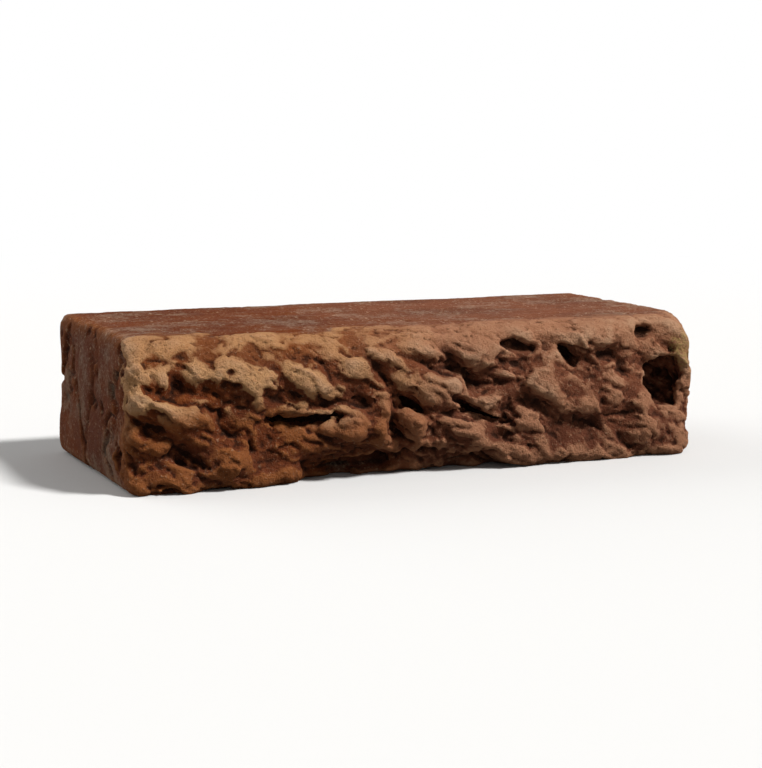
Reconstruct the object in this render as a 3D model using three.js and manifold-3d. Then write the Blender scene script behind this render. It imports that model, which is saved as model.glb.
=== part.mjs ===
// A hand-moulded clay facing brick from an old wall.  The long front face (-Y) is weathered: its
// burnt skin and one corner are gone, its arrises are worn round, and hollows, a furrow and a long
// crack run into the softer clay.  The other faces are as they left the mould: two flat beds and
// creased sides.
// Millimetres, +Z up, X along the brick; the origin is under its middle, on the lower bed.
import * as THREE from "three";
import { ImprovedNoise } from "three/addons/math/ImprovedNoise.js";
import { mergeVertices } from "three/addons/utils/BufferGeometryUtils.js";
import Module from "manifold-3d";

// The moulded brick
const LENGTH = 210;
const WIDTH = 100;
const HEIGHT = 50;
const MOULD_ARRIS = 4; // radius that the mould leaves on every arris
const SLUMP = 1.3; // how far each side of the foot has spread past the struck top
const CREASE = 0.9; // depth of the creases where the clay folded as it was thrown into the mould
const CREASE_RUN = 70; // how far a crease keeps its height along the sides
const CREASE_SPACING = 24;

// The weathered front
const SKIN_LOSS = 5; // mean depth that has gone from the whole face
const SWELL = 2.4; // height of the broad swells that are left
const SWELL_WIDTH = 34;
const KNOB = 2; // height of the smaller knobs on them
const KNOB_WIDTH = 9;
const FOLD = 4.5; // depth of the furrows between the clay's own slanting folds
const FOLD_AT_LEFT = 0.6; // share of that depth near the left end
const FOLD_AT_RIGHT = 0.5; // and on the firmer clay towards the right
const FOLD_AT_TOP = 0.35; // and on the upper arris, which is rubbed smooth
const FOLDS_DEEPEN = [0.25, 0.5]; // shares of the length over which the folds reach full depth
const FOLDS_FADE = [0.66, 0.76]; // and over which they grow shallow again
const FOLDS_BEGIN = [4.4, 11]; // and distances below the upper bed over which they start
const FOLD_SPACING = 10;
const FOLD_RUN = 25; // how far a fold keeps its height along itself
const FOLD_SLOPE = 28; // degrees down to the right
const FOLD_BEND = 6; // how far a fold strays from a straight line
const FURROW_SHARE = 0.4; // share of the face that lies in furrows
const STRAY = 5; // how far the outlines of lumps and pits stray from plain ovals
const STRAY_WIDTH = 11;
const WORN_TOP_LEFT = 13; // radii of the worn arrises
const WORN_TOP_RIGHT = 6;
const WORN_FOOT = 5;
const WORN_LEFT_END = 5;
const WORN_RIGHT_END = 13;
const LOST_CORNER = 22; // radius to which the upper right corner is knocked off
const LOST_CORNER_SLOPE = 1.4; // how far back it is broken for each mm outside that radius
const FRAY = 0.5; // share by which those radii vary along the arris
const FRAY_WIDTH = 14;
const UNDERCUT = 8; // extra radius of the foot under the middle of the face
const UNDERCUT_FROM = [0.24, 0.36]; // shares of the length over which it begins
const UNDERCUT_TO = [0.6, 0.72]; // and ends
const CRACK_WIDTH = 5;
const CRACK_DEPTH = 11;
const FURROW_WIDTH = 6.5;
const FURROW_DEPTH = 11;
const SLIT_WIDTH = 2;
const SLIT_DEPTH = 5;

// Lumps and ridges of harder clay that stand proud of the worn face: place as shares of its
// length and height, half sizes along and up the face and rise in mm, degrees turned clockwise.
const LUMPS = [
  { along: 0.067, up: 0.53, half: [15, 3.4], rise: 3.4, lean: 24 },
  { along: 0.19, up: 0.75, half: [14, 7], rise: 3.4, lean: 14 },
  { along: 0.16, up: 0.2, half: [10, 6], rise: 2.4, lean: 0 },
  { along: 0.3, up: 0.68, half: [9, 4], rise: 2, lean: 20 },
  { along: 0.44, up: 0.86, half: [22, 5], rise: 2, lean: -8 },
  { along: 0.365, up: 0.33, half: [4.5, 4], rise: 3, lean: 0 },
  { along: 0.415, up: 0.36, half: [9, 2.8], rise: 3.6, lean: 62 },
  { along: 0.475, up: 0.29, half: [9, 3], rise: 3.4, lean: 58 },
  { along: 0.55, up: 0.52, half: [13, 4], rise: 3, lean: 30 },
  { along: 0.6, up: 0.2, half: [13, 3.5], rise: 2.6, lean: 25 },
  { along: 0.72, up: 0.52, half: [16, 7], rise: 2.2, lean: 35 },
  { along: 0.8, up: 0.9, half: [16, 5], rise: 1.8, lean: 0 },
  { along: 0.9, up: 0.28, half: [10, 3.5], rise: 2.8, lean: 48 },
];

// Pits that widen towards the face: as the lumps, with a depth.
const PITS = [
  { along: 0.255, up: 0.36, half: [12, 3.4], depth: 3.5, lean: 4 },
  { along: 0.535, up: 0.67, half: [8.5, 2.6], depth: 5, lean: 10 },
  { along: 0.437, up: 0.42, half: [3.4, 6], depth: 5.5, lean: -25 },
  { along: 0.378, up: 0.53, half: [8, 3], depth: 4.5, lean: 30 },
  { along: 0.32, up: 0.56, half: [5, 2.6], depth: 3, lean: 10 },
  { along: 0.6, up: 0.62, half: [9, 2.6], depth: 3, lean: 20 },
  { along: 0.655, up: 0.69, half: [3, 3], depth: 4.5, lean: 0 },
  { along: 0.812, up: 0.76, half: [5, 3], depth: 4.5, lean: 35 },
  { along: 0.842, up: 0.61, half: [3, 3.6], depth: 4.5, lean: 0 },
  { along: 0.77, up: 0.3, half: [9, 2.2], depth: 2.5, lean: 50 },
  { along: 0.077, up: 0.7, half: [4, 3.6], depth: 4.5, lean: 0 },
  { along: 0.092, up: 0.86, half: [3.6, 3.2], depth: 4, lean: 0 },
  { along: 0.012, up: 0.5, half: [5, 4], depth: 4, lean: 0 },
  { along: 0.39, up: 0.14, half: [26, 4], depth: 4, lean: 0 },
  { along: 0.59, up: 0.06, half: [12, 4], depth: 5, lean: 0 },
];

// Hollows where softer clay has dropped out from behind the rim: as the lumps, with a half size
// into the face too.
const HOLLOWS = [
  { along: 0.93, up: 0.54, half: [8, 10.4, 11], lean: -20 },
  { along: 0.888, up: 0.89, half: [4.6, 2.8, 5], lean: 0 },
  { along: 0.742, up: 0.77, half: [6, 2.6, 6.5], lean: 43 },
  { along: 0.652, up: 0.84, half: [7.4, 2.2, 5], lean: 12 },
  { along: 0.468, up: 0.48, half: [6.4, 2.1, 6], lean: 36 },
  { along: 0.084, up: 0.25, half: [6.8, 4.6, 5.5], lean: 20 },
  { along: 0.385, up: 0.08, half: [17, 4.6, 8], lean: -4 },
];
const HOLLOW_ROUGHNESS = 0.5; // share by which a hollow's wall strays from a smooth one
const HOLLOW_LUMPS = 1.7; // number of bulges over a hollow's half size
const HOLLOW_UNDERCUT = 0.1; // share of a hollow's depth that its middle lies behind the face
const HOLLOW_RIM = 0.3; // share of a hollow's depth by which the face sinks around it
const RIM_WIDTH = 1.5; // width of that sunken rim, in half sizes of the hollow

// Cuts that run along the face: points as shares of its length and height.
const CRACK_LINE = [[0.52, 0.55], [0.56, 0.46], [0.605, 0.37], [0.655, 0.31]];
const FURROW_LINE = [[0.185, 0.45], [0.25, 0.43], [0.31, 0.42], [0.37, 0.455]];
const SLIT_LINE = [[0.888, 0.48], [0.917, 0.38], [0.945, 0.28]];

// Mesh fineness, in cells
const ARRIS_CELLS = 3;
const MOULD_CELLS = [34, 16, 16];
const FACE_CELLS = [110, 30];
const CUT_CELLS = [14, 3, 4];
const HOLLOW_CELL = 2.5; // mm
const SLIVER = 0.1; // mm, flatter and smaller faces than this are merged
const CLEAR = 6; // how far the cutting solids stand out in front of the brick

const wasm = await Module();
wasm.setup();
const perlin = new ImprovedNoise();

// Smooth noise of about -1 to 1.  On the face, z picks one of its independent layers.
function noise(x, y, z) {
  return perlin.noise(x + 31.4, y + 17.9, z + 23.1);
}

// A closed box mesh whose surface points are put in place one by one; place gets each point's
// grid shares along the box, 0 to 1.
function gridBox([nx, ny, nz], place) {
  const box = new THREE.BoxGeometry(1, 1, 1, nx, ny, nz);
  const points = box.getAttribute("position");
  for (let i = 0; i < points.count; i++) {
    const u = Math.round((points.getX(i) + 0.5) * nx) / nx;
    const v = Math.round((points.getY(i) + 0.5) * ny) / ny;
    const w = Math.round((points.getZ(i) + 0.5) * nz) / nz;
    points.setXYZ(i, ...place(u, v, w).toArray());
  }
  return box;
}

function solid(geometry) {
  geometry.deleteAttribute("normal");
  geometry.deleteAttribute("uv");
  const merged = mergeVertices(geometry);
  return new wasm.Manifold(new wasm.Mesh({
    numProp: 3,
    vertProperties: new Float32Array(merged.getAttribute("position").array),
    triVerts: new Uint32Array(merged.index.array),
  }));
}

// Narrow cells over the arris at each end of a side, even cells between.
function arrisStation(share, cells, length) {
  const line = Math.min(share, 1 - share) * cells;
  const inner = (line - ARRIS_CELLS) / (cells - 2 * ARRIS_CELLS);
  const fromEnd = line < ARRIS_CELLS
    ? (line / ARRIS_CELLS) * MOULD_ARRIS
    : MOULD_ARRIS + inner * (length - 2 * MOULD_ARRIS);
  return share < 0.5 ? fromEnd - length / 2 : length / 2 - fromEnd;
}

// The brick as it left the mould and dried: arrises rounded, foot spread, sides creased.  Only
// sideways moves are made, so both beds stay flat.
function mouldedBrick() {
  const half = new THREE.Vector3(LENGTH, WIDTH, HEIGHT).multiplyScalar(0.5);
  const inside = half.clone().subScalar(MOULD_ARRIS);
  return gridBox(MOULD_CELLS, (u, v, w) => {
    const flat = new THREE.Vector3(
      arrisStation(u, MOULD_CELLS[0], LENGTH),
      arrisStation(v, MOULD_CELLS[1], WIDTH),
      arrisStation(w, MOULD_CELLS[2], HEIGHT),
    );
    const core = flat.clone().clamp(inside.clone().negate(), inside);
    const out = flat.clone().sub(core).normalize();
    const point = core.addScaledVector(out, MOULD_ARRIS);
    const height = (point.z + half.z) / HEIGHT;
    const fold = noise(point.x / CREASE_RUN, point.y / CREASE_RUN, point.z / CREASE_SPACING);
    const crease = 1 - THREE.MathUtils.smoothstep(Math.abs(fold), 0, 0.28);
    const inset = SLUMP * height * height + CREASE * crease;
    point.x -= out.x * inset;
    point.y -= out.y * inset;
    point.z += half.z;
    return point;
  });
}

// How deep a round arris of this radius lies at a distance from the corner.
function worn(distance, radius) {
  const in_ = Math.min(Math.max(distance, 0), radius);
  return radius - Math.sqrt(radius * radius - (radius - in_) ** 2);
}

// How deep the upper right corner is broken off, beyond a quarter circle on the face.
function brokenCorner(x, z) {
  const right = Math.max(0, LOST_CORNER - (LENGTH / 2 - x));
  const up = Math.max(0, LOST_CORNER - (HEIGHT - z));
  return LOST_CORNER_SLOPE * Math.max(0, Math.hypot(right, up) - LOST_CORNER);
}

// Distances along and across a line that runs down to the right by these degrees.
function turned(x, z, degrees) {
  const angle = THREE.MathUtils.degToRad(degrees);
  return [x * Math.cos(angle) - z * Math.sin(angle), x * Math.sin(angle) + z * Math.cos(angle)];
}

// A place on the face, shifted a little so that a plain oval there gets a ragged outline.
function strayed(x, z) {
  const [along, up] = [x / STRAY_WIDTH, z / STRAY_WIDTH];
  return [x + STRAY * noise(along, up, 13.5), z + STRAY * noise(along, up, 17.5)];
}

// 1 on most of a lump or pit, falling quickly to 0 around it.
function patch({ along, up, half, lean }, x, z) {
  const [length, height] = turned(x - (along - 0.5) * LENGTH, z - up * HEIGHT, lean);
  return Math.exp(-(((length / half[0]) ** 2 + (height / half[1]) ** 2) ** 2));
}

// Depth of the weathered face behind the moulded one.
function weatheredDepth(x, z) {
  const { lerp, smoothstep } = THREE.MathUtils;
  const share = x / LENGTH + 0.5;
  const swell = noise(x / SWELL_WIDTH, z / SWELL_WIDTH, 0.5);
  const knob = noise(x / KNOB_WIDTH, z / KNOB_WIDTH, 5.5);
  let depth = SKIN_LOSS - SWELL * swell - KNOB * knob;

  const bend = FOLD_BEND * noise(x / (2 * FOLD_SPACING), z / (2 * FOLD_SPACING), 11.5);
  const [alongFold, acrossFold] = turned(x, z + bend, FOLD_SLOPE);
  const crest = Math.abs(noise(acrossFold / FOLD_SPACING, alongFold / FOLD_RUN, 3.5));
  const furrow = 1 - smoothstep(crest, 0, 0.3);
  const atLeft = lerp(FOLD_AT_LEFT, 1, smoothstep(share, ...FOLDS_DEEPEN));
  const atRight = lerp(1, FOLD_AT_RIGHT, smoothstep(share, ...FOLDS_FADE));
  const atTop = lerp(FOLD_AT_TOP, 1, smoothstep(HEIGHT - z, ...FOLDS_BEGIN));
  depth += FOLD * atLeft * atRight * atTop * (furrow - FURROW_SHARE);

  const frayed = 1 + FRAY * noise(x / FRAY_WIDTH, z / FRAY_WIDTH, 7.5);
  const underMiddle = smoothstep(share, ...UNDERCUT_FROM) - smoothstep(share, ...UNDERCUT_TO);
  depth += worn(HEIGHT - z, lerp(WORN_TOP_LEFT, WORN_TOP_RIGHT, share) * frayed);
  depth += worn(z, (WORN_FOOT + UNDERCUT * underMiddle) * frayed);
  depth += worn(x + LENGTH / 2, WORN_LEFT_END * frayed);
  depth += worn(LENGTH / 2 - x, WORN_RIGHT_END * frayed);
  depth += brokenCorner(x, z) * frayed;

  const [strayX, strayZ] = strayed(x, z);
  for (const lump of LUMPS) {
    depth -= lump.rise * patch(lump, strayX, strayZ);
  }
  for (const pit of PITS) {
    depth += pit.depth * patch(pit, strayX, strayZ);
  }
  for (const { along, up, half, lean } of HOLLOWS) {
    const [length, height] = turned(x - (along - 0.5) * LENGTH, z - up * HEIGHT, lean);
    const away = Math.hypot(length / half[0], height / half[1]) / RIM_WIDTH;
    depth += HOLLOW_RIM * half[2] * Math.exp(-away * away);
  }
  return Math.max(depth, 0.2);
}

// Cells that narrow towards both ends of a length and run a little past them.
function wornStation(share, length) {
  const eased = (1 - Math.cos(Math.PI * share)) / 2;
  return THREE.MathUtils.lerp(share, eased, 0.6) * (length + 2) - 1;
}

// All that weather has taken off in front of the worn face.
function weatheredAway() {
  return gridBox([FACE_CELLS[0], 1, FACE_CELLS[1]], (u, v, w) => {
    const x = wornStation(u, LENGTH) - LENGTH / 2;
    const z = wornStation(w, HEIGHT);
    const y = v < 0.5 ? -CLEAR : weatheredDepth(x, z);
    return new THREE.Vector3(x, y - WIDTH / 2, z);
  });
}

// A hollow with an uneven wall; its middle lies behind the worn face, so its rim overhangs.
function hollow({ along, up, half, lean }) {
  const ball = new THREE.IcosahedronGeometry(1, Math.ceil(Math.max(...half) / HOLLOW_CELL));
  const points = ball.getAttribute("position");
  const point = new THREE.Vector3();
  for (let i = 0; i < points.count; i++) {
    point.fromBufferAttribute(points, i);
    const spot = point.clone().multiplyScalar(HOLLOW_LUMPS);
    const uneven = noise(spot.x + 9 * along, spot.y, spot.z + 7 * up);
    point.multiplyScalar(1 + HOLLOW_ROUGHNESS * uneven);
    points.setXYZ(i, point.x * half[0], point.y * half[2], point.z * half[1]);
  }
  const x = (along - 0.5) * LENGTH;
  const z = up * HEIGHT;
  const y = weatheredDepth(x, z) + HOLLOW_UNDERCUT * half[2] - WIDTH / 2;
  ball.rotateY(THREE.MathUtils.degToRad(lean));
  ball.translate(x, y, z);
  return ball;
}

// A cut along a line on the face, widest and deepest at its middle, narrowing inwards.
function cut(line, width, depth) {
  const spine = new THREE.CatmullRomCurve3(
    line.map(([along, up]) => new THREE.Vector3((along - 0.5) * LENGTH, 0, up * HEIGHT)),
  );
  return gridBox(CUT_CELLS, (u, v, w) => {
    const middle = spine.getPoint(u);
    const side = spine.getTangent(u).cross(new THREE.Vector3(0, 1, 0));
    const spread = 0.12 + 0.88 * Math.sin(Math.PI * u);
    const uneven = 1 + 0.5 * noise(middle.x / 5, w, middle.z / 5);
    const halfWidth = (width / 2) * spread * uneven * (1 - 0.7 * v * v);
    const face = weatheredDepth(middle.x, middle.z) - WIDTH / 2;
    middle.addScaledVector(side, (2 * w - 1) * halfWidth);
    middle.y = face + THREE.MathUtils.lerp(-CLEAR, depth * spread, v);
    return middle;
  });
}

function weatheredBrick() {
  const losses = [
    weatheredAway(),
    ...HOLLOWS.map(hollow),
    cut(CRACK_LINE, CRACK_WIDTH, CRACK_DEPTH),
    cut(FURROW_LINE, FURROW_WIDTH, FURROW_DEPTH),
    cut(SLIT_LINE, SLIT_WIDTH, SLIT_DEPTH),
  ];
  let brick = solid(mouldedBrick());
  for (const loss of losses) {
    brick = brick.subtract(solid(loss));
  }
  // A crumb that the cuts have freed is lost too.
  const bodies = brick.decompose().sort((a, b) => b.volume() - a.volume());
  return bodies[0].simplify(SLIVER);
}

function geometryOf(body) {
  const { vertProperties, triVerts } = body.getMesh();
  const geometry = new THREE.BufferGeometry();
  geometry.setAttribute("position", new THREE.BufferAttribute(vertProperties, 3));
  geometry.setIndex(new THREE.BufferAttribute(triVerts, 1));
  geometry.computeBoundingBox();
  const { min, max } = geometry.boundingBox;
  geometry.translate(-(min.x + max.x) / 2, -(min.y + max.y) / 2, -min.z);
  geometry.computeVertexNormals();
  return geometry;
}

const firedClay = new THREE.MeshStandardMaterial({ color: 0x7c4a35, roughness: 0.95, metalness: 0 });
const brick = new THREE.Mesh(geometryOf(weatheredBrick()), firedClay);
brick.name = "brick";

const part = new THREE.Group();
part.add(brick);
export default part;
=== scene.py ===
import math

import bmesh
import bpy
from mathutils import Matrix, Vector


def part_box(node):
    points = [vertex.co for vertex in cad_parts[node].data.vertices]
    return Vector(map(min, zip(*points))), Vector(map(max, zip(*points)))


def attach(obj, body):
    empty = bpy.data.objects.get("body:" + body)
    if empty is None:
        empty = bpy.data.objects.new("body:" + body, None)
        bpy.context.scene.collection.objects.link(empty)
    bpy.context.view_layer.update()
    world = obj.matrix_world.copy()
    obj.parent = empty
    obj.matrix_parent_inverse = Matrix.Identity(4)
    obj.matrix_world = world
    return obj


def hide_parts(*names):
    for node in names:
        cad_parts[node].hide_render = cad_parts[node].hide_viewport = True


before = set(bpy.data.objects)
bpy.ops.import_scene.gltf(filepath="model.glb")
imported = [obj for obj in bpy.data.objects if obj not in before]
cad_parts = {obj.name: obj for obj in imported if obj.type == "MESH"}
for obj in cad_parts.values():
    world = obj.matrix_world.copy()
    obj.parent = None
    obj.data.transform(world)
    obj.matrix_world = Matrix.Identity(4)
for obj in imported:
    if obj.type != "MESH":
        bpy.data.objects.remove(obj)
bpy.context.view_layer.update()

# ---- The brick --------------------------------------------------------------------------------
# One brick of soft red clay, moulded by hand and fired in one piece.  Its long front has stood in
# the weather: the burnt skin is gone, and rain and frost have opened the clay into torn folds,
# clefts and pits.  The other sides kept the creases and sand of the mould, and a haze of lime.

MM = 0.001
low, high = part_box("brick")

FOLD_SLOPE = math.radians(26)  # the clay's folds run down to the right
WEATHERED_TO = 10 * MM  # how far behind the front the weathered skin reaches at least
WEATHERED_FADE = 4 * MM  # and over what depth it ends
WEATHERED_STRAY = 12 * MM  # how much further it reaches in places
STRAY_WIDTH = 20 * MM  # how wide these places are
HOLLOWED = (3.5 * MM, 4.9 * MM)  # what lies deeper inside the brick's box is weathered as well
ARRIS = (1.5 * MM, 6 * MM)  # distances from an edge over which its chips come to an end


class Tree:
    """A node tree whose nodes are all made by one method."""

    def __init__(self, group):
        self.group = group
        group.nodes.clear()

    def add(self, kind, settings=(), sockets=(), out=0):
        """A node with these settings, values and links; gives one of its outputs."""
        node = self.group.nodes.new(kind)
        for name, value in dict(settings).items():
            setattr(node, name, value)
        for key, value in dict(sockets).items():
            if isinstance(value, Wire):
                self.group.links.new(value.socket, node.inputs[key])
            else:
                node.inputs[key].default_value = value
        return Wire(self, node.outputs[out]) if node.outputs else None

    def math(self, operation, *values):
        """A Math node on these values."""
        return self.add("ShaderNodeMath", {"operation": operation}, dict(enumerate(values)))

    def mix(self, factor, below, above):
        """A colour mix; a plain colour is given as its three linear values."""
        pair = [value if isinstance(value, Wire) else (*value, 1) for value in (below, above)]
        settings = {"data_type": "RGBA", "clamp_factor": True}
        return self.add("ShaderNodeMix", settings, {0: factor, 6: pair[0], 7: pair[1]}, 2)

    def noise(self, place, size, detail=2, rough=0.5, out=0):
        """Noise of about 0 to 1 whose largest lumps are this wide."""
        sockets = {"Vector": place, "Scale": 1 / size, "Detail": detail, "Roughness": rough}
        return self.add("ShaderNodeTexNoise", {}, sockets, out)

    def wander(self, place, size, span, detail=2, rough=0.5):
        """A value that wanders about 0, over this span in all."""
        return (self.noise(place, size, detail, rough) - 0.5) * span

    def cells(self, place, size, out, **settings):
        """Cells about this wide, each round its own scattered middle."""
        sockets = {"Vector": place, "Scale": 1 / size, "Randomness": 1.0}
        return self.add("ShaderNodeTexVoronoi", settings, sockets, out)


class Wire:
    """An output socket; arithmetic on it adds Math nodes."""

    def __init__(self, tree, socket):
        self.tree = tree
        self.socket = socket

    def __add__(self, other):
        return self.tree.math("ADD", self, other)

    def __radd__(self, other):
        return self.tree.math("ADD", other, self)

    def __sub__(self, other):
        return self.tree.math("SUBTRACT", self, other)

    def __rsub__(self, other):
        return self.tree.math("SUBTRACT", other, self)

    def __mul__(self, other):
        return self.tree.math("MULTIPLY", self, other)

    def __rmul__(self, other):
        return self.tree.math("MULTIPLY", other, self)

    def __truediv__(self, other):
        return self.tree.math("DIVIDE", self, other)

    def __rtruediv__(self, other):
        return self.tree.math("DIVIDE", other, self)

    def __abs__(self):
        return self.tree.math("ABSOLUTE", self)

    def least(self, other):
        return self.tree.math("MINIMUM", self, other)

    def most(self, other):
        return self.tree.math("MAXIMUM", self, other)

    def step(self, start, end, low=0.0, high=1.0):
        """Goes smoothly from low to high as this value goes from start to end."""
        return self.tree.add(
            "ShaderNodeMapRange",
            {"interpolation_type": "SMOOTHSTEP"},
            {"Value": self, "From Min": start, "From Max": end, "To Min": low, "To Max": high},
        )

    def vector(self, operation, other=None, key=1):
        """A Vector Math node on this vector."""
        sockets = {0: self} if other is None else {0: self, key: other}
        is_number = operation in ("DOT_PRODUCT", "LENGTH")
        settings = {"operation": operation}
        return self.tree.add("ShaderNodeVectorMath", settings, sockets, int(is_number))

    def parts(self):
        """The X, Y and Z of this vector."""
        return (self.tree.add("ShaderNodeSeparateXYZ", {}, {0: self}, axis) for axis in range(3))


def along_folds(place, stretch):
    """Places turned so that X runs down the clay's folds, and squeezed along them."""
    sockets = {"Vector": place, "Angle": -FOLD_SLOPE}
    turned = place.tree.add("ShaderNodeVectorRotate", {"rotation_type": "Y_AXIS"}, sockets)
    return turned.vector("MULTIPLY", (1 / stretch, 1, 1))


def strayed(place, size, span, detail=2):
    """Places that wander about their own, over this span along each axis."""
    stray = place.tree.noise(place, size, detail, out=1).vector("SUBTRACT", (0.5, 0.5, 0.5))
    return place.vector("ADD", stray.vector("SCALE", span, "Scale"))


def weathered_share(place):
    """1 on the weathered front and in its hollows, 0 on the sides that the mould made."""
    x, y, z = place.parts()
    patches = place.tree.noise(place, STRAY_WIDTH, detail=5, rough=0.6)
    stray = patches.step(0.42, 0.66, 0, WEATHERED_STRAY)
    near = (y - low.y - stray).step(WEATHERED_TO, WEATHERED_TO + WEATHERED_FADE, 1, 0)
    inside = (high.x - abs(x)).least(high.y - y).least(z - low.z).least(high.z - z)
    return near.most(inside.step(*HOLLOWED))


def arris_share(place):
    """1 along the brick's edges, 0 in the middle of its sides."""
    x, y, z = place.parts()
    ends = high.x - abs(x)
    faces = high.y - abs(y)
    beds = (z - low.z).least(high.z - z)
    from_edge = ends.most(faces).least(beds).most(ends.least(faces))
    return from_edge.step(*ARRIS, 1, 0)


def pits(place, size, share, ragged):
    """1 at the bottom of scattered ragged pits, 0 between them; this share of cells has one."""
    rags = 0.8  # width of the rags of a rim, as a share of the size
    widest = 0.55  # radius of the widest pit, as such a share
    slope = 0.3  # how far in from the rim the bottom is
    place = strayed(place, size * rags, size * ragged)
    chance, _, _ = place.tree.cells(place, size, "Color").parts()
    radius = chance.step(1 - share, 1, 0, widest)
    return (radius - place.tree.cells(place, size, "Distance")).step(0, slope)


def clefts(place, size, width):
    """1 along the clefts between lumps about this wide; width is a share of the size."""
    from_cleft = place.tree.cells(place, size, "Distance", feature="DISTANCE_TO_EDGE")
    return from_cleft.step(0, width, 1, 0)


def facets(place, size):
    """Height of broken faces about this wide, each tilted its own way, with ledges between."""
    middle = place.tree.cells(place, size, "Position")
    tilt = place.tree.cells(place, size, "Color").vector("SUBTRACT", (0.5, 0.5, 0.5))
    return place.vector("SUBTRACT", middle).vector("DOT_PRODUCT", tilt)


def blurred(wire, times):
    """A vector evened out over the neighbouring points."""
    settings = {"data_type": "FLOAT_VECTOR"}
    sockets = {"Value": wire, "Iterations": times}
    return wire.tree.add("GeometryNodeBlurAttribute", settings, sockets)


def raised(tree, mesh, height, times):
    """The mesh with its points moved out along normals that are first evened out."""
    normal = blurred(tree.add("GeometryNodeInputNormal"), times).vector("NORMALIZE")
    sockets = {"Geometry": mesh, "Offset": normal.vector("SCALE", height, "Scale")}
    return tree.add("GeometryNodeSetPosition", {}, sockets)


def mesh_tree(name, sizes):
    """An empty mesh-to-mesh tree; gives it, its mesh and its named inputs."""
    tree = Tree(bpy.data.node_groups.new(name, "GeometryNodeTree"))
    sockets = tree.group.interface
    sockets.new_socket("Mesh", in_out="INPUT", socket_type="NodeSocketGeometry")
    for label in sizes:
        sockets.new_socket(label, in_out="INPUT", socket_type="NodeSocketFloat")
    sockets.new_socket("Mesh", in_out="OUTPUT", socket_type="NodeSocketGeometry")
    inputs = {label: tree.add("NodeGroupInput", {}, {}, label) for label in ("Mesh", *sizes)}
    return tree, inputs.pop("Mesh"), inputs


def finish_mesh_tree(tree, mesh, material):
    """Ends a tree with its mesh realised and its material set."""
    mesh = tree.add("GeometryNodeRealizeInstances", {}, {"Geometry": mesh})
    mesh = tree.add("GeometryNodeSetMaterial", {}, {"Geometry": mesh, "Material": material})
    tree.add("NodeGroupOutput", {}, {"Mesh": mesh})


def use_mesh_tree(piece, tree, sizes):
    """Puts a tree on a piece, with these values for its named inputs."""
    modifier = piece.modifiers.new(tree.group.name, "NODES")
    modifier.node_group = tree.group
    for item in tree.group.interface.items_tree:
        if item.in_out == "INPUT" and item.name in sizes:
            modifier[item.identifier] = sizes[item.name]


def remesh(piece, voxel):
    """Gives a piece an even skin of faces this wide."""
    modifier = piece.modifiers.new("remesh", "REMESH")
    modifier.mode = "VOXEL"
    modifier.voxel_size = voxel
    modifier.use_smooth_shade = True


fired_clay = bpy.data.materials.new("fired_clay")
fired_clay.use_nodes = True

# First the torn folds, clefts and pits of 3 to 10 mm that stand on the brick's main forms, and on
# the other sides the creases of the mould, chipped arrises and an upper bed that was struck level.
torn_sizes = {
    "Bend width": 16 * MM,
    "Bend span": 12 * MM,
    "Facet width": 7 * MM,
    "Small facet width": 4 * MM,
    "Facet slope": 0.4,
    "Facet lift": 0.6 * MM,
    "Swell width": 9 * MM,
    "Swell height": 1.2 * MM,
    "Cleft spacing": 7 * MM,
    "Cleft patch width": 15 * MM,
    "Cleft depth": 1.0 * MM,
    "Slot spacing": 5 * MM,
    "Slot depth": 1.8 * MM,
    "Rub patch width": 20 * MM,
    "Rub span": 8 * MM,
    "Lap width": 34 * MM,
    "Crease patch width": 40 * MM,
    "Crease depth": 1.6 * MM,
    "Chip spacing": 12 * MM,
    "Chip depth": 1.6 * MM,
    "Strike width": 2.4 * MM,
    "Strike depth": 0.5 * MM,
}
FOLD_STRETCH = 3.2  # how much longer than wide a fold is
SMALL_FACET_SHARE = 0.8
LAP_STRETCH = 2.5
STRIKE_STRETCH = 16
RUBBED = (4 * MM, 11 * MM)  # distances below the upper bed over which the rubbed arris ends
RUBBED_HEIGHT = 0.4  # the share of the folds' height that is left there
FIRM = (25 * MM, 45 * MM)  # the clay is firmer from here to the right
FIRM_HEIGHT = 0.7
BED = (1.5 * MM, 3 * MM)  # and distances over which the strike marks end

tree, mesh, sizes = mesh_tree("torn_folds", torn_sizes)
place = tree.add("GeometryNodeInputPosition")
eased = blurred(place, times=10)  # takes the steps out of the voxels
mesh = tree.add("GeometryNodeSetPosition", {}, {"Geometry": mesh, "Position": eased})
x, _, z = place.parts()
below = high.z - z

bent = strayed(place, sizes["Bend width"], sizes["Bend span"], detail=3)
lie = along_folds(bent, FOLD_STRETCH)
faces = facets(lie, sizes["Facet width"])
faces = faces + facets(lie, sizes["Small facet width"]) * SMALL_FACET_SHARE
swells = tree.wander(lie, sizes["Swell width"], sizes["Swell height"], detail=3)
opened = tree.noise(place, sizes["Cleft patch width"]).step(0.38, 0.58)
torn = faces * sizes["Facet slope"] + sizes["Facet lift"] + swells
torn = torn - clefts(lie, sizes["Cleft spacing"], width=0.14) * opened * sizes["Cleft depth"]
torn = torn - pits(lie, sizes["Slot spacing"], share=0.25, ragged=0.8) * sizes["Slot depth"]
rubbed = below + tree.wander(place, sizes["Rub patch width"], sizes["Rub span"])
rubbed = rubbed.step(*RUBBED, RUBBED_HEIGHT, 1)
torn = torn * rubbed * x.step(*FIRM, 1, FIRM_HEIGHT)

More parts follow.
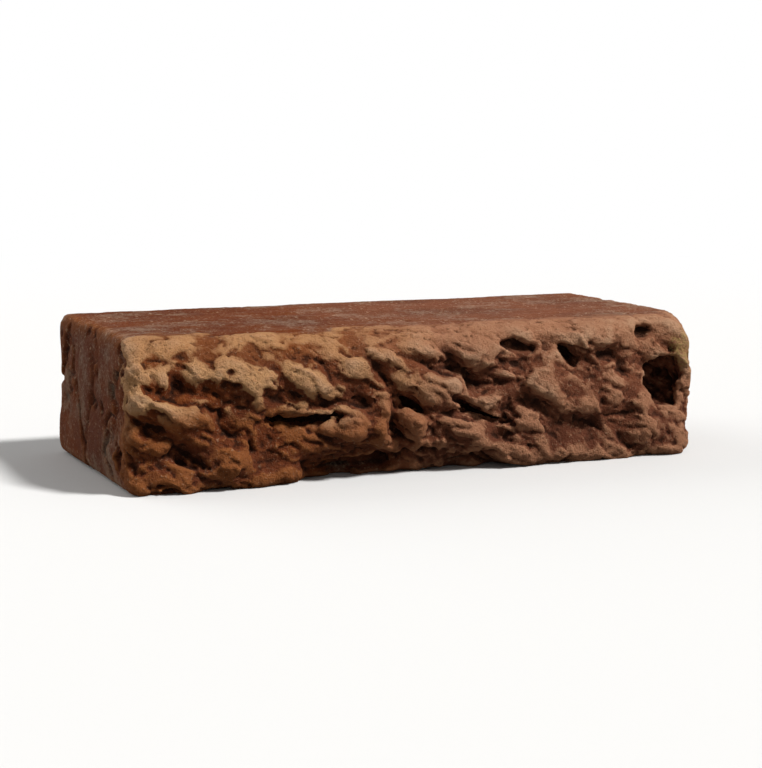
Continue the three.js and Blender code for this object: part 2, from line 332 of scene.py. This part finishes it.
lap = tree.noise(along_folds(place, LAP_STRETCH), sizes["Lap width"], detail=3) - 0.5
crease = lap.step(-0.02, 0) * lap.step(0, 0.06, 1, 0)  # steep where one lap of clay ends
crease = crease * tree.noise(place, sizes["Crease patch width"]).step(0.38, 0.52)
chips = pits(place, sizes["Chip spacing"], share=0.5, ragged=0.9) * arris_share(place)
dragged = place.vector("MULTIPLY", (1 / STRIKE_STRETCH, 1, 1))
struck = tree.noise(dragged, sizes["Strike width"], detail=3, rough=0.6).step(0.35, 0.6, 1, 0)
bed = below.step(*BED, 1, 0)
moulded = crease * (1 - bed) * sizes["Crease depth"] + struck * bed * sizes["Strike depth"]
moulded = moulded + chips * sizes["Chip depth"]

share = weathered_share(place)
mesh = raised(tree, mesh, torn * share - moulded * (1 - share), times=16)
finish_mesh_tree(tree, mesh, fired_clay)
torn_folds = tree

# Then grain and pits of 1 to 3 mm, and the sand of the mould.  How far each point lies below or
# above its surroundings, in mm, is kept for the colours; the beds stay flat.
grain_sizes = {
    "Facet width": 2.2 * MM,
    "Facet slope": 0.3,
    "Grain width": 1.6 * MM,
    "Grain height": 0.24 * MM,
    "Pit spacing": 2.6 * MM,
    "Pit depth": 0.4 * MM,
    "Sand width": 1.6 * MM,
    "Sand height": 0.3 * MM,
    "Pore spacing": 6 * MM,
    "Pore depth": 0.7 * MM,
}
FACET_STRETCH = 2
GRAIN_STRETCH = 1.8
PIT_STRETCH = 1.6
SURROUNDINGS = {"cavity": 6, "hollow": 40, "basin": 200}  # rounds of evening out for each

tree, mesh, sizes = mesh_tree("grain", grain_sizes)
place = tree.add("GeometryNodeInputPosition")
share = weathered_share(place)
faces = facets(along_folds(place, FACET_STRETCH), sizes["Facet width"])
lie = along_folds(place, GRAIN_STRETCH)
grains = tree.wander(lie, sizes["Grain width"], sizes["Grain height"], detail=4, rough=0.65)
small_pits = pits(along_folds(place, PIT_STRETCH), sizes["Pit spacing"], share=0.1, ragged=1.2)
torn = faces * sizes["Facet slope"] + grains - small_pits * sizes["Pit depth"]
moulded = tree.wander(place, sizes["Sand width"], sizes["Sand height"], detail=3, rough=0.6)
pores = pits(place, sizes["Pore spacing"], share=0.1, ragged=0.9)
moulded = moulded - pores * sizes["Pore depth"]
mesh = raised(tree, mesh, torn * share + moulded * (1 - share), times=6)
flat = place.vector("MAXIMUM", (low.x - 1, low.y - 1, low.z))
flat = flat.vector("MINIMUM", (high.x + 1, high.y + 1, high.z))
mesh = tree.add("GeometryNodeSetPosition", {}, {"Geometry": mesh, "Position": flat})
normal = tree.add("GeometryNodeInputNormal")
kept = {"weathered": share}
for label, times in SURROUNDINGS.items():
    sunk = blurred(place, times).vector("SUBTRACT", place).vector("DOT_PRODUCT", normal)
    kept[label] = sunk / MM
for label, value in kept.items():
    mesh = tree.add(
        "GeometryNodeStoreNamedAttribute",
        {"data_type": "FLOAT", "domain": "POINT"},
        {"Geometry": mesh, "Name": label, "Value": value},
    )
finish_mesh_tree(tree, mesh, fired_clay)
grain = tree

# The solid's faces are joined and given an even skin for each tree, which is thinned out at last.
FOLD_VOXEL = 0.7 * MM
GRAIN_VOXEL = 0.5 * MM
KEPT_FACES = 0.275  # keeps the piece under 200,000 triangles

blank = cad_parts["brick"].data.copy()
blank.materials.clear()
merged = bmesh.new()
merged.from_mesh(blank)
bmesh.ops.remove_doubles(merged, verts=merged.verts, dist=0.01 * MM)
bmesh.ops.recalc_face_normals(merged, faces=merged.faces)
merged.to_mesh(blank)
merged.free()
brick = bpy.data.objects.new("weathered_brick", blank)
bpy.context.scene.collection.objects.link(brick)
remesh(brick, FOLD_VOXEL)
use_mesh_tree(brick, torn_folds, torn_sizes)
remesh(brick, GRAIN_VOXEL)
use_mesh_tree(brick, grain, grain_sizes)
brick.modifiers.new("thin_out", "DECIMATE").ratio = KEPT_FACES
bpy.context.view_layer.update()
finished = brick.evaluated_get(bpy.context.evaluated_depsgraph_get())
weathered_mesh = bpy.data.meshes.new_from_object(finished)
brick.modifiers.clear()
brick.data = weathered_mesh

# Its colours: red clay, more orange towards the left, with an ochre crust on the high parts of the
# upper left that is partly painted highlight, more painted highlight on the raised parts and along
# the top of the front, sand grains, and painted shade wherever the surface is sunk.


def rgb(red, green, blue):
    """A colour written as screen values, 0 to 255, as the linear values that a shader takes."""
    return tuple(((c / 255 + 0.055) / 1.055) ** 2.4 for c in (red, green, blue))


RED_CLAY = rgb(132, 79, 55)
ORANGE_CLAY = rgb(116, 57, 25)
BURNT = rgb(88, 48, 34)
OCHRE = rgb(226, 184, 134)
LIGHT_CLAY = rgb(190, 137, 103)
LIGHT_ORANGE = rgb(158, 98, 54)
SAND = rgb(198, 163, 131)
# the dark of the painted shade in the sunk places
SUNK_SHADE = rgb(40, 22, 14)
LIME = rgb(190, 172, 148)
LICHEN = rgb(164, 142, 84)
LICHEN_SPOT = (101 * MM, -46 * MM, 38 * MM)
LICHEN_EDGE = (11 * MM, 6 * MM)  # distances from its middle over which it begins
TURNS_RED = (-50 * MM, 20 * MM)  # orange clay on the left of this, red clay on the right
UPPER_HALF = (20 * MM, 32 * MM)  # heights over which the crust begins,
PAINTED_HIGHLIGHT_TOP = (37 * MM, 46 * MM)  # over which the face is painted paler as a highlight,
FOOT = (28 * MM, 6 * MM)  # and over which it darkens downwards

tree = Tree(fired_clay.node_tree)
place = tree.add("ShaderNodeTexCoord", {}, {}, "Object")
weathered, cavity, hollow, basin = (
    tree.add("ShaderNodeAttribute", {"attribute_name": label}, {}, "Fac")
    for label in ("weathered", *SURROUNDINGS)
)
skin = 1 - weathered  # 1 where the skin that the mould left is still on
x, _, z = place.parts()
left = x + tree.wander(place, 30 * MM, 80 * MM, detail=6, rough=0.6)
left = left.step(*TURNS_RED, 1, 0)
upper = (z + tree.wander(place, 24 * MM, 40 * MM, detail=3)).step(*UPPER_HALF)
proud = (basin + tree.wander(place, 8 * MM, 1.5, detail=4)).step(-0.1, -0.8) * weathered
crest = basin.step(-0.7, -1.8) * weathered
clouds = tree.noise(place, 40 * MM, detail=8, rough=0.65).step(0.42, 0.6)
mottle = tree.noise(place, 9 * MM, detail=5, rough=0.65).step(0.35, 0.7)
grit = tree.noise(place, 1.1 * MM, detail=4, rough=0.7)
haze = tree.noise(place, 22 * MM, detail=9, rough=0.75) + grit * 0.3
haze = haze.step(0.62, 0.8) * skin
mould_sand = pits(place, 1.4 * MM, share=0.25, ragged=0.6) * skin
from_spot = place.vector("SUBTRACT", LICHEN_SPOT).vector("LENGTH")
lichen = from_spot + tree.wander(place, 5 * MM, 16 * MM, detail=5, rough=0.75)
lichen = lichen.step(*LICHEN_EDGE) * grit.step(0.38, 0.56) * weathered
pale = tree.mix(left, LIGHT_CLAY, LIGHT_ORANGE)
colour = tree.mix(left, RED_CLAY, ORANGE_CLAY)
for share, coat in (  # each over the ones before it
    (clouds * 0.5, BURNT),  # clouds of hotter fire
    (mottle * 0.24, BURNT),
    (z.step(*FOOT) * weathered * 0.45, BURNT),
    (proud * left * upper * 0.9, OCHRE),  # the ochre crust, partly a painted highlight on the raised parts
    # painted highlight: the raised parts of the weathered front made paler
    (proud * 0.5, pale),
    # painted highlight along the top of the front
    (z.step(*PAINTED_HIGHLIGHT_TOP) * weathered * 0.3, pale),
    # painted highlight on the highest crests of the upper half
    (crest * upper * 0.5, SAND),
    (grit.step(0.56, 0.72) * 0.4, SAND),  # grains of sand
    (grit.step(0.46, 0.3) * 0.5, BURNT),  # and burnt grains between them
    # painted highlight on the smallest bumps
    (cavity.step(-0.03, -0.2) * 0.3, pale),
    (basin.step(0.2, 2.2) * 0.75, SUNK_SHADE),  # painted shade in the deep places,
    (hollow.step(0.05, 0.8) * 0.7, SUNK_SHADE),  # in the clefts
    (cavity.step(0.02, 0.2) * 0.5, SUNK_SHADE),  # and in the smallest pits
    (basin.step(-0.3, -1.6) * skin * 0.4, pale),  # arrises that are worn pale
    (haze * 0.3, LIME),
    (mould_sand * 0.4, SAND),
    (lichen * 0.6, LICHEN),
):
    colour = tree.mix(share, colour, coat)
rough = tree.noise(place, 3 * MM, detail=3).step(0, 1, 0.82, 0.98)
fine_grit = grit + tree.noise(place, 0.5 * MM, detail=3, rough=0.6) * 0.6
bump = tree.add("ShaderNodeBump", {}, {"Height": fine_grit, "Distance": 1.2 * MM})
finish = {"Base Color": colour, "Roughness": rough, "Normal": bump, "Specular IOR Level": 0.08}
shader = tree.add("ShaderNodeBsdfPrincipled", {}, finish)
tree.add("ShaderNodeOutputMaterial", {}, {"Surface": shader})

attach(brick, "root")
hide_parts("brick")

# ---- Floor, light and camera -------------------------------------------------------------------
# A pale floor that turns into the white of the background as it goes away, a soft sun over the
# right shoulder of the front, and a long lens that sees the front from its left and above.

FLOOR = rgb(222, 221, 219)
FLOOR_GLOW = rgb(120, 116, 110)  # what the floor throws back on to the brick
FLOOR_WIDTH = 8  # in metres, as the next distances are
TURNS_WHITE = (0.25, 1.0)  # distances from the brick over which the floor turns white
WHITE = rgb(255, 255, 255)
SKY_LIGHT = 0.25


def backdrop_rays(tree):
    """1 for rays that show the floor and background, 0 for those that light the brick."""
    kinds = ("Is Camera Ray", "Is Glossy Ray", "Is Transmission Ray")
    camera, glossy, transmitted = (tree.add("ShaderNodeLightPath", {}, {}, kind) for kind in kinds)
    return camera.most(glossy.most(transmitted))


bpy.ops.mesh.primitive_plane_add(size=FLOOR_WIDTH)
floor = bpy.context.object
floor.name = "floor"
pale_floor = bpy.data.materials.new("pale_floor")
pale_floor.use_nodes = True
tree = Tree(pale_floor.node_tree)
seen = backdrop_rays(tree)
away = tree.add("ShaderNodeTexCoord", {}, {}, "Object").vector("LENGTH").step(*TURNS_WHITE)
paint = {"Base Color": tree.mix(seen, FLOOR_GLOW, FLOOR), "Roughness": 0.9}
near = tree.add("ShaderNodeBsdfPrincipled", {}, paint)
far = tree.add("ShaderNodeEmission", {}, {"Color": (*WHITE, 1), "Strength": 1.0})
shader = tree.add("ShaderNodeMixShader", {}, {0: away * seen, 1: near, 2: far})
tree.add("ShaderNodeOutputMaterial", {}, {"Surface": shader})
floor.data.materials.append(pale_floor)

world = bpy.data.worlds.new("studio")
bpy.context.scene.world = world
world.use_nodes = True
tree = Tree(world.node_tree)
sky = tree.add("ShaderNodeBackground", {}, {"Color": (*WHITE, 1), "Strength": SKY_LIGHT})
background = tree.add("ShaderNodeBackground", {}, {"Color": (*WHITE, 1), "Strength": 1.0})
shader = tree.add("ShaderNodeMixShader", {}, {0: backdrop_rays(tree), 1: sky, 2: background})
tree.add("ShaderNodeOutputWorld", {}, {"Surface": shader})

for name, strength, softness, comes_from in (  # softness in degrees
    ("sun", 4.0, 10, (0.45, -0.5, 0.75)),
    ("fill", 1.3, 60, (-0.65, 0.7, 0.3)),  # weak and soft, for the end and back in the shade
):
    lamp = bpy.data.objects.new(name, bpy.data.lights.new(name, "SUN"))
    lamp.data.energy = strength
    lamp.data.angle = math.radians(softness)
    lamp.rotation_euler = Vector(comes_from).to_track_quat("Z", "Y").to_euler()
    bpy.context.scene.collection.objects.link(lamp)

AZIMUTH = math.radians(-23)
ELEVATION = math.radians(8)
DISTANCE = 0.68
FOCAL_LENGTH = 90  # in mm
centre = (low + high) / 2
away = Vector((
    math.sin(AZIMUTH) * math.cos(ELEVATION),
    -math.cos(AZIMUTH) * math.cos(ELEVATION),
    math.sin(ELEVATION),
))
camera = bpy.data.objects.new("camera", bpy.data.cameras.new("camera"))
camera.data.lens = FOCAL_LENGTH
camera.location = centre + away * DISTANCE
camera.rotation_euler = away.to_track_quat("Z", "Y").to_euler()
bpy.context.scene.collection.objects.link(camera)
bpy.context.scene.camera = camera
bpy.context.scene.view_settings.view_transform = "Standard"
